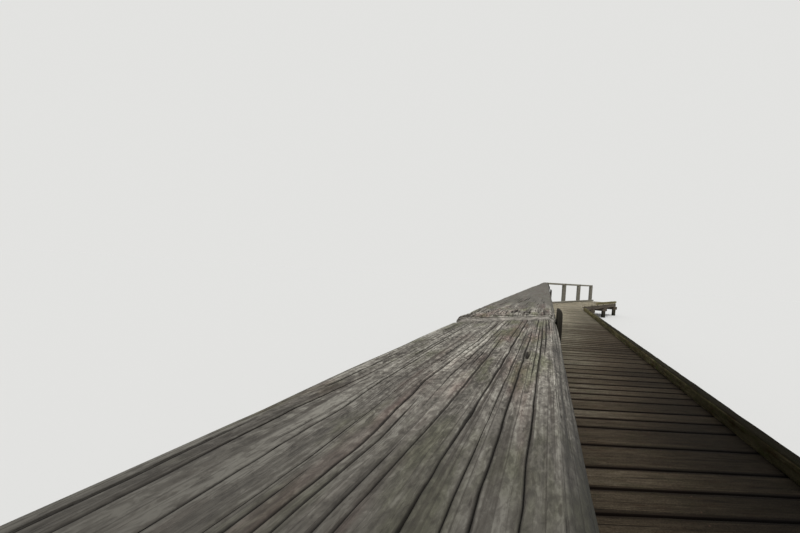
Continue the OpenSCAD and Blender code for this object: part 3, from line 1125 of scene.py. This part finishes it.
def first_plank(timber, outline, look, rng):
    """The plank in front: its checks and knots lie where the real ones do."""
    def across(from_edge):
        return outline.top(timber.low[1] + from_edge)

    def place(from_edge, before):
        start, end = timber.span(np.array(timber.low[1] + from_edge))
        return float((timber.high[0] - before - start) / (end - start) * timber.length)

    checks = []
    for from_edge, start, end, width, depth, drift in FIRST_PLANK_CHECKS:
        steps = tuple(sorted((place(from_edge, before), -shift) for before, shift in drift)) or ((0.0, 0.0),)
        stretches = ((place(from_edge, start), place(from_edge, end)),)
        widths = [(place(from_edge, before), share) for before, share in CHECK_WIDTHS]
        checks.append(Check(across(from_edge), stretches, width, depth, steps, widths))
    for _ in range(HAIR_CHECKS):
        girth = across(rng.uniform(*HAIR_STRIP))
        if clear_of(girth, checks, HAIR_PITCH):
            checks.append(hair_check(girth, timber.length, rng))
    knots = [Knot(place(from_edge, before), across(from_edge), *shape)
             for before, from_edge, *shape in FIRST_PLANK_KNOTS]
    fine = ((timber.length - look.near_length, timber.length, look.near_row),)
    joint_shade_patches = Field(rng, 1, outline.girth, 1, JOINT_PATCH)

    def dried(along, girth):
        start, end = timber.span(outline.place(girth)[0])
        before = timber.high[0] - start - (end - start) * along / timber.length
        damp, dry = DAMP_AND_SHADE_REACH
        return smooth((damp - before) / (damp - dry))

    def damp(along, girth):
        return 1 - dried(along, girth)

    def tone(along, girth):
        from_edge = outline.place(girth)[0] - timber.low[1]
        filled = smooth((from_edge - JOINT_FILL) / 0.004)
        filled = np.maximum(filled, smooth(joint_shade_patches.at(ANYWHERE, girth) * 2.5 - 0.4))
        joint = filled * (1 - smooth((timber.length - along) / JOINT_REACH))
        dry = dried(along, girth)
        shade = BEVEL_SHADE_TONE * smooth((from_edge - BEVEL_START) / 0.003) * (1 - 0.2 * dry)
        outer = OUTER_TONE * (1 - smooth(from_edge / OUTER_REACH))
        # Painted shade over the damp part, on the bevel and in the open joint, beside the darker outer edge
        # and the light dry end
        return DAMP_SHADE_TONE * (1 - dry) + END_TONE * dry + shade + outer + JOINT_SHADE_TONE * joint

    def wear_down(along, girth, relief):
        before = (timber.length - along) / SPLICE_REACH
        return SPLICE_WEAR * (1 - smooth(before)) * np.ones(girth.shape), relief

    return weathered(timber, outline, look, rng, tone, checks, knots, column=look.near_column, fine=fine,
                     wander=0.0012, wear_down=wear_down, edge_wear=0.8, shoulder=WORN_SHOULDER,
                     slope=WORN_SLOPE, end_round=0.001, damp=damp)


def short_check(girth, rng):
    """A check in broken grain, which opens once close behind the splice and once again further on."""
    first = rng.uniform(0.008, 0.09)
    again = rng.uniform(0.14, 0.62)
    stretches = ((first, first + rng.uniform(0.04, 0.13)), (again, again + rng.uniform(0.05, 0.35)))
    return Check(girth + rng.uniform(-0.0015, 0.0015), stretches, rng.uniform(0.0012, 0.0034), 0.0060)


def second_plank(timber, outline, look, rng):
    """The plank past the first splice: a smooth step at its end, then a ragged edge and broken grain."""
    broken = Field(rng, timber.length, outline.girth, 0.016, 0.0030)
    lumps = Field(rng, timber.length, outline.girth, 0.040, 0.011)
    ragged = Field(rng, 1, outline.girth, 1, 0.006)
    streaked = Field(rng, timber.length, outline.girth, 0.070, 0.0080)
    pitted = Field(rng, 1, outline.girth, 1, 0.010)

    def wear_down(along, girth, relief):
        past = along - STEP_LENGTH - 0.003 * ragged.at(ANYWHERE, girth)
        step = 1 - smooth(past / 0.002)
        pit = np.exp(-((past - 0.002) / 0.0022) ** 2) * smooth(0.7 + pitted.at(ANYWHERE, girth))
        fading = smooth((along - BROKEN_START) / (BROKEN_PATCH - BROKEN_START))
        patch = smooth((past - 0.002) / 0.006) * (1 - fading)
        down = patch * np.clip(0.3 + 1.3 * broken.at(along, girth) + 1.6 * lumps.at(along, girth), 0, None)
        # Pits along the ragged edge are darkened as painted shade under it
        relief = relief * (1 - 0.5 * patch) * (1 - step) - 0.8 * step + np.clip(down, 0, 2) * 0.5 + 1.6 * pit
        return step * STEP_WEAR + pit * EDGE_PIT + down * BROKEN_WEAR, relief

    checks = [short_check(outline.top(timber.low[1] + timber.width * share), rng)
              for share in np.linspace(0.06, 0.82, SHORT_CHECKS)]
    checks += [check for check in random_checks(timber, outline, look, rng) if clear_of(check.girth, checks)]
    knots = random_knots(timber, outline, rng, 3, 0.006, 0.010)
    past, from_edge, radius = SECOND_PLANK_KNOT
    knots.append(Knot(past, outline.top(timber.low[1] + from_edge), radius))

    def tone(along, girth):
        further = smooth(along / FURTHER_REACH)
        streaks = STREAK_TONE * streaked.at(along, girth) * (1 - 0.6 * further)
        return START_TONE * (1 - further) + FURTHER_TONE * further + streaks

    return weathered(timber, outline, look, rng, tone, checks, knots, wear_down=wear_down, edge_wear=0.6,
                     fine=((0.0, 0.04, 0.0015), (0.04, 0.5, 0.004)), end_round=0.001)


class JETTY_OT_cap_planks(bpy.types.Operator):
    """Make the planks of the cap rail, with their checks, knots and worn ends"""
    bl_idname = "jetty.cap_planks"
    bl_label = "Cap planks"

    def execute(self, context):
        look = settings("cap")

        def plank(timber, number, rng):
            outline = cap_outline(timber, look)
            if number < 2:
                return (first_plank, second_plank)[number](timber, outline, look, rng)
            checks = random_checks(timber, outline, look, rng)
            knots = random_knots(timber, outline, rng, 3, 0.006, 0.011)
            lightness = OPEN_LIT_TONE if number == BAYS - 1 else rng.uniform(*PLANK_TONES)
            return weathered(timber, outline, look, rng, lightness, checks, knots, column=look.column * 1.8)

        build(bays("cap_plank", "cap_rail"), "weathered_cap_wood", SEED, 1, plank, dried=True)
        return {"FINISHED"}


# How much coarser the skins of the boards are in bays that lie further off
BOARD_COARSENESS = (1.0, 0.85, 1.0, 1.1, 1.2, 1.2)


class JETTY_OT_deck_boards(bpy.types.Operator):
    """Make the deck boards, each with its own wear, checks and colour"""
    bl_idname = "jetty.deck_boards"
    bl_label = "Deck boards"

    def execute(self, context):
        look = settings("board")

        def board(timber, number, rng):
            outline = Outline(timber, plain_corners(look.corner))
            cup = rng.uniform(0, look.cup)
            checks = random_checks(timber, outline, look, rng)
            knots = random_knots(timber, outline, rng, int(rng.integers(0, 3)), 0.008, 0.014)
            # Painted shade and sheen along the run, with a random tone of the board's own
            lightness = along_run(timber, RUN_SHADE_SHEEN_AND_DAMP) + rng.uniform(-0.42, 0.42)
            shade_and_dirt = along_run(timber, KERB_SHADE_AND_DIRT)

            def cupped(along, girth, relief):
                share = (outline.place(girth)[0] - timber.middle[1]) / (timber.width / 2)
                return cup * (1 - share ** 2) * np.ones(along.shape), relief

            def tone(along, girth):
                # Darker towards the kerb: painted shade of the trees, with dirt
                return lightness - shade_and_dirt * smooth((along / timber.length - 0.20) / 0.65)

            return weathered(timber, outline, look, rng, tone, checks, knots, wear_down=cupped, wander=0.006,
                             column=look.column * BOARD_COARSENESS[number],
                             row=look.row * BOARD_COARSENESS[number], edge_reach=0.009)

        build(bays("worn_boards", "deck_boards"), "trodden_board_wood", SEED * 100, 40, board,
              boards_of)
        return {"FINISHED"}


# How light the kerbs are at distances along the run: their tops, darkened as painted shade under the trees,
# and their sides, lighter as painted light from the open side
KERB_SHADED_TOPS = ((2.0, -2.0), (5.0, -3.5), (6.4, -2.7), (7.8, -2.25), (10.0, -2.05), (11.5, -2.4), (13.5, -0.1),
             (16.0, -0.1), (18.5, 1.1))
KERB_LIT_SIDES = ((2.0, -0.6), (5.0, -1.1), (6.4, -0.1), (7.8, 0.6), (10.0, 1.3), (11.5, 1.0), (13.5, 1.2),
              (16.0, 1.8), (21.0, 1.2))


def kerb_tone(timber, outline, rng):
    """Tone of a kerb for the places along it and round its section, with painted shade on its top and painted
    light on its sides.
    """
    ends = [timber.world(np.array([end, *timber.middle[1:]]))[1] for end in (timber.low[0], timber.high[0])]
    patches = Field(rng, timber.length, outline.girth, 0.30, 0.060)

    def tone(along, girth):
        run = np.interp(along, (0, timber.length), ends)
        on_top = smooth((outline.place(girth)[1] - timber.high[2] + 0.010) / 0.008)
        top, side = (np.interp(run, *zip(*steps)) for steps in (KERB_SHADED_TOPS, KERB_LIT_SIDES))
        return side + (top - side) * on_top + 0.35 * patches.at(along, girth)

    return tone


def build_kerbs(name, stem, dried=False):
    look = settings("kerb")
    worn = (look.corner, look.corner, 0.55)
    flat = (0.003, 0.003, 1.0)

    def kerb(timber, number, rng):
        outline = Outline(timber, (flat, worn, worn, flat))
        checks = random_checks(timber, outline, look, rng, ("top", "near", "far"))
        knots = random_knots(timber, outline, rng, 2, 0.008, 0.012)
        tone = OPEN_LIT_TONE if dried and number == BAYS - 1 else kerb_tone(timber, outline, rng)
        return weathered(timber, outline, look, rng, tone, checks, knots, wander=0.005, edge_wear=2.6,
                         edge_reach=0.010)

    build(bays(name, stem), "mossy_kerb_wood", SEED * 3 + len(stem), 1, kerb, dried=dried)


class JETTY_OT_foot_kerbs(bpy.types.Operator):
    """Make the low kerb at the foot of the rail"""
    bl_idname = "jetty.foot_kerbs"
    bl_label = "Foot kerbs"

    def execute(self, context):
        build_kerbs("worn_foot_kerb", "foot_kerb", dried=True)
        return {"FINISHED"}


class JETTY_OT_shore_kerbs(bpy.types.Operator):
    """Make the mossy kerb opposite the rail"""
    bl_idname = "jetty.shore_kerbs"
    bl_label = "Shore kerbs"

    def execute(self, context):
        build_kerbs("mossy_shore_kerb", "shore_kerb")
        return {"FINISHED"}


# How dark the first bays' cheeks are, as painted shade over damp wood, how much that fades by distance along
# the run, and how much the posts follow the boards' painted shade and sheen along the run
CHEEK_SHADE_TONE = -2.0
CHEEK_FADE = 0.08
POST_REACH = 0.65


def cheek_shape(timber, look, cap_under):
    """Thins a post from the cap's underside up to its cheek, with round top corners and a worn outer edge."""
    top = timber.high[0]

    def reshape(height, across, up):
        above = height >= cap_under - WELD
        lift = np.clip(height - (top - look.cheek_edge), 0, look.cheek_edge)
        thick = look.cheek - look.cheek_edge + np.sqrt(look.cheek_edge ** 2 - lift ** 2)
        thin = timber.high[2] - look.cheek + (up - timber.low[2]) / timber.height * thick
        arc = np.clip(height - (top - look.cheek_round), 0, look.cheek_round)
        half = look.cheek_width / 2 - look.cheek_round + np.sqrt(look.cheek_round ** 2 - arc ** 2)
        narrow = timber.middle[1] + (across - timber.middle[1]) / (timber.width / 2) * half
        return np.where(above, narrow, across), np.where(above, thin, up)

    return reshape


class JETTY_OT_rail_posts(bpy.types.Operator):
    """Make the rail posts, each with the cheek that stands beside the cap"""
    bl_idname = "jetty.rail_posts"
    bl_label = "Rail posts"

    def execute(self, context):
        look = settings("post")

        def post(timber, number, rng):
            outline = Outline(timber, plain_corners(look.corner, 0.5))
            cap_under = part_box(f"cap_rail_{number + 1}")[0].z
            checks = random_checks(timber, outline, look, rng, ("top", "far", "near"))
            for check in checks:
                check.stretches = [(start, min(end, cap_under - 0.05)) for start, end in check.stretches]
            knots = random_knots(timber, outline, rng, 2, 0.008, 0.014)
            lightness = OPEN_POST_LIT_TONE if number == BAYS - 1 else POST_REACH * along_run(timber, RUN_SHADE_SHEEN_AND_DAMP)
            lightness = lightness + rng.uniform(-0.1, 0.1)
            # Painted shade on the cheek beside the cap
            at_cheek = min(CHEEK_SHADE_TONE + CHEEK_FADE * timber.world(timber.middle)[1], lightness)
            shoulder = cap_under - timber.low[0]
            rounded = timber.length - 0.014

            def tone(along, girth):
                share = smooth((along - shoulder + 0.10) / 0.12)
                return lightness * (1 - share) + at_cheek * share

            return weathered(timber, outline, look, rng, tone, checks, knots, wander=0.004,
                             fine=((shoulder - 0.0002, rounded, 0.008), (rounded, timber.length, 0.0025)),
                             reshape=cheek_shape(timber, look, cap_under))

        build(bays("damp_rail_posts", "rail_posts"), "damp_post_wood", SEED * 5, 10, post,
              uprights_of, dried=True)
        return {"FINISHED"}


class JETTY_OT_shore_piles(bpy.types.Operator):
    """Make the short piles under the kerb side"""
    bl_idname = "jetty.shore_piles"
    bl_label = "Shore piles"

    def execute(self, context):
        pile = plain_skin(settings("post"), ("top", "far", "near"), 0.5, (-0.6, 0.1), 0.004)
        build(bays("damp_shore_piles", "shore_piles"), "damp_post_wood", SEED * 7, 10, pile,
              uprights_of)
        return {"FINISHED"}


def build_frame_timbers(pieces, seed):
    sawn = plain_skin(settings("frame"), ("near", "far"), 0.9, (-0.5, 0.5), 0.005)
    build(pieces, "sawn_frame_wood", seed, 20, sawn)


class JETTY_OT_bearers(bpy.types.Operator):
    """Make the pairs of bearers that clamp the posts and piles"""
    bl_idname = "jetty.bearers"
    bl_label = "Bearers"

    def execute(self, context):
        build_frame_timbers(bays("sawn_bearers", "bearers"), SEED * 11)
        return {"FINISHED"}


class JETTY_OT_stringers(bpy.types.Operator):
    """Make the three lines of stringers under the boards"""
    bl_idname = "jetty.stringers"
    bl_label = "Stringers"

    def execute(self, context):
        build_frame_timbers([(f"sawn_{node}", node) for node in STRINGERS], SEED * 13)
        return {"FINISHED"}


# Fixings

def turned_head(radii, heights, sides):
    """A round or many-sided head on its foot, as points and faces: rings of a radius at each height."""
    points, faces = [], []
    for ring, (radius, height) in enumerate(zip(radii, heights)):
        for side in range(sides):
            angle = math.tau * side / sides
            points.append((radius * math.cos(angle), radius * math.sin(angle), height))
            if ring:
                low, high = (ring - 1) * sides, ring * sides
                following = (side + 1) % sides
                faces.append((low + side, low + following, high + following, high + side))
    faces.append(tuple(range((len(radii) - 1) * sides, len(radii) * sides)))
    faces.append(tuple(range(sides))[::-1])
    return points, faces


def scattered(name, shape, places, material):
    """Copies of a shape as one piece, each at a point, facing a way, and turned."""
    points, faces = [], []
    for point, facing, turn in places:
        matrix = Matrix.Translation(point) @ Vector(facing).to_track_quat("Z", "Y").to_matrix().to_4x4()
        matrix = matrix @ Matrix.Rotation(turn, 4, "Z")
        for shape_points, shape_faces in shape:
            base = len(points)
            points.extend(matrix @ Vector(corner) for corner in shape_points)
            faces.extend(tuple(corner + base for corner in face) for face in shape_faces)
    mesh = bpy.data.meshes.new(name)
    mesh.from_pydata(points, [], faces)
    mesh.shade_smooth()
    mesh.set_sharp_from_angle(angle=math.radians(35))
    add_piece(name, mesh, material)


# Narrowest board that is nailed, and the least distance of a nail from the end of its board and its stringer
NAILED_WIDTH = 0.1
NAIL_FROM_END = 0.02
NAIL_FROM_STRINGER_END = 0.005
# How deep a nail is set, and how far it may sit out of line
NAIL_SET = 0.0010
NAIL_ASTRAY = 0.008


def nail_places(board, stringer, inset, rng):
    """Places of the two nails that hold a board to a stringer, where the two cross."""
    direction = stringer.axes[0]
    if abs(direction @ board.axes[0]) > 0.2 or board.width < NAILED_WIDTH:
        return []
    found = []
    for side in (-1, 1):
        across = board.middle[1] + side * (board.width / 2 - inset)
        offset = stringer.middle[1] - across * (board.axes[1] @ stringer.axes[1])
        along = offset / (board.axes[0] @ stringer.axes[1])
        start, end = board.span(np.array(across))
        point = board.world(np.array((along, across, board.high[2] - NAIL_SET)))
        first = stringer.low[0] + NAIL_FROM_STRINGER_END
        last = stringer.high[0] - NAIL_FROM_STRINGER_END
        if start + NAIL_FROM_END < along < end - NAIL_FROM_END and first < point @ direction < last:
            shift = rng.uniform(-NAIL_ASTRAY, NAIL_ASTRAY, 2)
            point = point + board.axes[0] * shift[0] + board.axes[1] * shift[1]
            found.append((point, (0, 0, 1), rng.uniform(0, math.tau)))
    return found


class JETTY_OT_deck_nails(bpy.types.Operator):
    """Set two nails through each board into each stringer"""
    bl_idname = "jetty.deck_nails"
    bl_label = "Deck nails"

    def execute(self, context):
        look = settings("fixing")
        rng = np.random.default_rng(SEED * 17)
        radius = look.nail_head / 2
        head = [turned_head((radius, radius, radius * 0.6), (-0.004, 0.0002, 0.0008), 10)]
        stringers = [timber for node in STRINGERS for timber in timbers_of(node)]
        places = []
        for node in bay_nodes("deck_boards"):
            for board in boards_of(node):
                for stringer in stringers:
                    places.extend(nail_places(board, stringer, look.nail_inset, rng))
        scattered("deck_nails", head, places, metal("rusted_nail", look.rust, look.rust, 1.0))
        return {"FINISHED"}


# Farthest that an upright's middle lies from a bearer that clamps it, how far its two bolts stand over and
# under the bearer's middle and out of line, and how deep their washers are set
CLAMP_REACH = 0.12
BOLT_RISE = 0.035
BOLT_SKEW = 0.6
WASHER_SET = 0.0012


def bolt_places(bearer, upright, rng):
    """Places of the two bolts that hold a bearer to an upright, where it clamps one."""
    along, across = (bearer.axes @ upright.world(upright.middle))[:2]
    gap = across - bearer.middle[1]
    if abs(gap) >= CLAMP_REACH or not bearer.low[0] < along < bearer.high[0]:
        return []
    outside = -np.sign(gap)
    found = []
    for rise in (-BOLT_RISE, BOLT_RISE):
        at = np.array((along + rise * BOLT_SKEW, bearer.middle[1] + outside * (bearer.width / 2 - WASHER_SET),
                       bearer.middle[2] + rise))
        found.append((bearer.world(at), bearer.axes[1] * outside, rng.uniform(0, math.tau)))
    return found


class JETTY_OT_trestle_bolts(bpy.types.Operator):
    """Put a bolt with washers through each pair of bearers at each post and pile"""
    bl_idname = "jetty.trestle_bolts"
    bl_label = "Trestle bolts"

    def execute(self, context):
        look = settings("fixing")
        rng = np.random.default_rng(SEED * 19)
        flat = look.bolt / 2 / math.cos(math.pi / 6)
        washer = look.washer / 2
        shape = [turned_head((washer, washer, washer * 0.96), (-0.001, 0.0026, 0.0032), 16),
                 turned_head((flat, flat, flat * 0.86), (0.0030, 0.0120, 0.0142), 6)]
        places = []
        for bay in range(1, BAYS + 1):
            uprights = uprights_of(f"rail_posts_{bay}") + uprights_of(f"shore_piles_{bay}")
            for bearer in timbers_of(f"bearers_{bay}"):
                for upright in uprights:
                    places.extend(bolt_places(bearer, upright, rng))
        scattered("trestle_bolts", shape, places, metal("weathered_zinc", look.zinc, look.rust, 0.6))
        return {"FINISHED"}


# Stage

class JETTY_OT_stage(bpy.types.Operator):
    """Lay the plain floor, set the soft light and place the camera over the cap rail"""
    bl_idname = "jetty.stage"
    bl_label = "Stage"

    def execute(self, context):
        look = settings("stage")
        scene = context.scene
        scene.view_settings.view_transform = "Standard"
        lay_floor(look)
        light_sky(look, scene)
        hang_sun(look)
        scene.camera = place_camera(look)
        return {"FINISHED"}


def lay_floor(look):
    half = look.floor_side / 2
    mesh = bpy.data.meshes.new("floor")
    mesh.from_pydata([(-half, -half, 0), (half, -half, 0), (half, half, 0), (-half, half, 0)], [],
                     [(0, 1, 2, 3)])
    mesh.materials.append(Recipe("plain_floor").finish(look.floor, 1.0, None, 0.0))
    floor = bpy.data.objects.new("floor", mesh)
    bpy.context.scene.collection.objects.link(floor)


def light_sky(look, scene):
    """Even light from all sides, which the camera and mirrors see in the floor's own colour."""
    scene.world = bpy.data.worlds.new("studio")
    scene.world.use_nodes = True
    sky = Wiring(scene.world.node_tree)
    path = sky.node("ShaderNodeLightPath").outputs
    mirrored = sky.math("ADD", path["Is Glossy Ray"], path["Is Transmission Ray"], use_clamp=True)
    seen = sky.math("ADD", path["Is Camera Ray"], mirrored, use_clamp=True)
    way = Vector(look.sun_way).normalized()
    floor_strength = look.sky_strength + look.sun_strength * way.z / math.pi
    lit = sky.node("ShaderNodeBackground", {"Color": (1, 1, 1), "Strength": look.sky_strength}).outputs[0]
    shown = sky.node("ShaderNodeBackground", {"Color": look.floor, "Strength": floor_strength}).outputs[0]
    mixed = sky.node("ShaderNodeMixShader", {0: seen, 1: lit, 2: shown}).outputs[0]
    sky.node("ShaderNodeOutputWorld", {"Surface": mixed})


def hang_sun(look):
    """One wide soft light from behind the camera."""
    light = bpy.data.lights.new("soft_main_light", "SUN")
    light.energy = look.sun_strength
    light.angle = look.sun_size
    lamp = bpy.data.objects.new("soft_main_light", light)
    lamp.rotation_euler = Vector(look.sun_way).to_track_quat("Z", "Y").to_euler()
    lamp.location = (-8, 6, 14)
    bpy.context.scene.collection.objects.link(lamp)


def place_camera(look):
    """The camera, turned by its yaw, then its pitch, then its roll."""
    yaw, pitch, roll = look.turn
    level = Vector((-math.sin(yaw), math.cos(yaw), 0))
    right = Vector((math.cos(yaw), math.sin(yaw), 0))
    ahead = level * math.cos(pitch) + Vector((0, 0, 1)) * math.sin(pitch)
    above = Vector((0, 0, 1)) * math.cos(pitch) - level * math.sin(pitch)
    side = right * math.cos(roll) + above * math.sin(roll)
    top = above * math.cos(roll) - right * math.sin(roll)
    data = bpy.data.cameras.new("camera")
    data.lens = look.lens
    data.sensor_width = 36.0
    data.shift_x, data.shift_y = look.shift
    data.clip_start = 0.01
    data.clip_end = 1000.0
    camera = bpy.data.objects.new("camera", data)
    turn = Matrix((side, top, -ahead)).transposed().to_4x4()
    camera.matrix_world = Matrix.Translation(look.lens_place) @ turn
    bpy.context.scene.collection.objects.link(camera)
    return camera


# Panel and registration

OPERATORS = (JETTY_OT_stage, JETTY_OT_cap_planks, JETTY_OT_rail_posts, JETTY_OT_foot_kerbs,
             JETTY_OT_deck_boards, JETTY_OT_shore_kerbs, JETTY_OT_shore_piles, JETTY_OT_bearers,
             JETTY_OT_stringers, JETTY_OT_deck_nails, JETTY_OT_trestle_bolts)
SETTINGS = {"cap": JettyCapSettings, "board": JettyBoardSettings, "kerb": JettyKerbSettings,
            "post": JettyPostSettings, "frame": JettyFrameSettings, "fixing": JettyFixingSettings,
            "stage": JettyStageSettings}


class JETTY_PT_panel(bpy.types.Panel):
    """Buttons that make the jetty's pieces one group at a time"""
    bl_idname = "JETTY_PT_panel"
    bl_label = "Timber jetty"
    bl_space_type = "VIEW_3D"
    bl_region_type = "UI"
    bl_category = "Jetty"

    def draw(self, context):
        column = self.layout.column()
        for operator in OPERATORS:
            column.operator(operator.bl_idname)
        for name, group in SETTINGS.items():
            box = self.layout.box()
            box.label(text=group.__doc__.rstrip("."))
            for title in group.__annotations__:
                box.prop(getattr(context.scene, "jetty_" + name), title)


CLASSES = (*SETTINGS.values(), *OPERATORS, JETTY_PT_panel)


def register():
    for each in CLASSES:
        bpy.utils.register_class(each)
    for name, group in SETTINGS.items():
        setattr(bpy.types.Scene, "jetty_" + name, PointerProperty(type=group))


def unregister():
    for name in SETTINGS:
        delattr(bpy.types.Scene, "jetty_" + name)
    for each in reversed(CLASSES):
        bpy.utils.unregister_class(each)


def main():
    register()
    for operator in OPERATORS:
        group, name = operator.bl_idname.split(".")
        getattr(getattr(bpy.ops, group), name)()


if __name__ == "__main__":
    main()
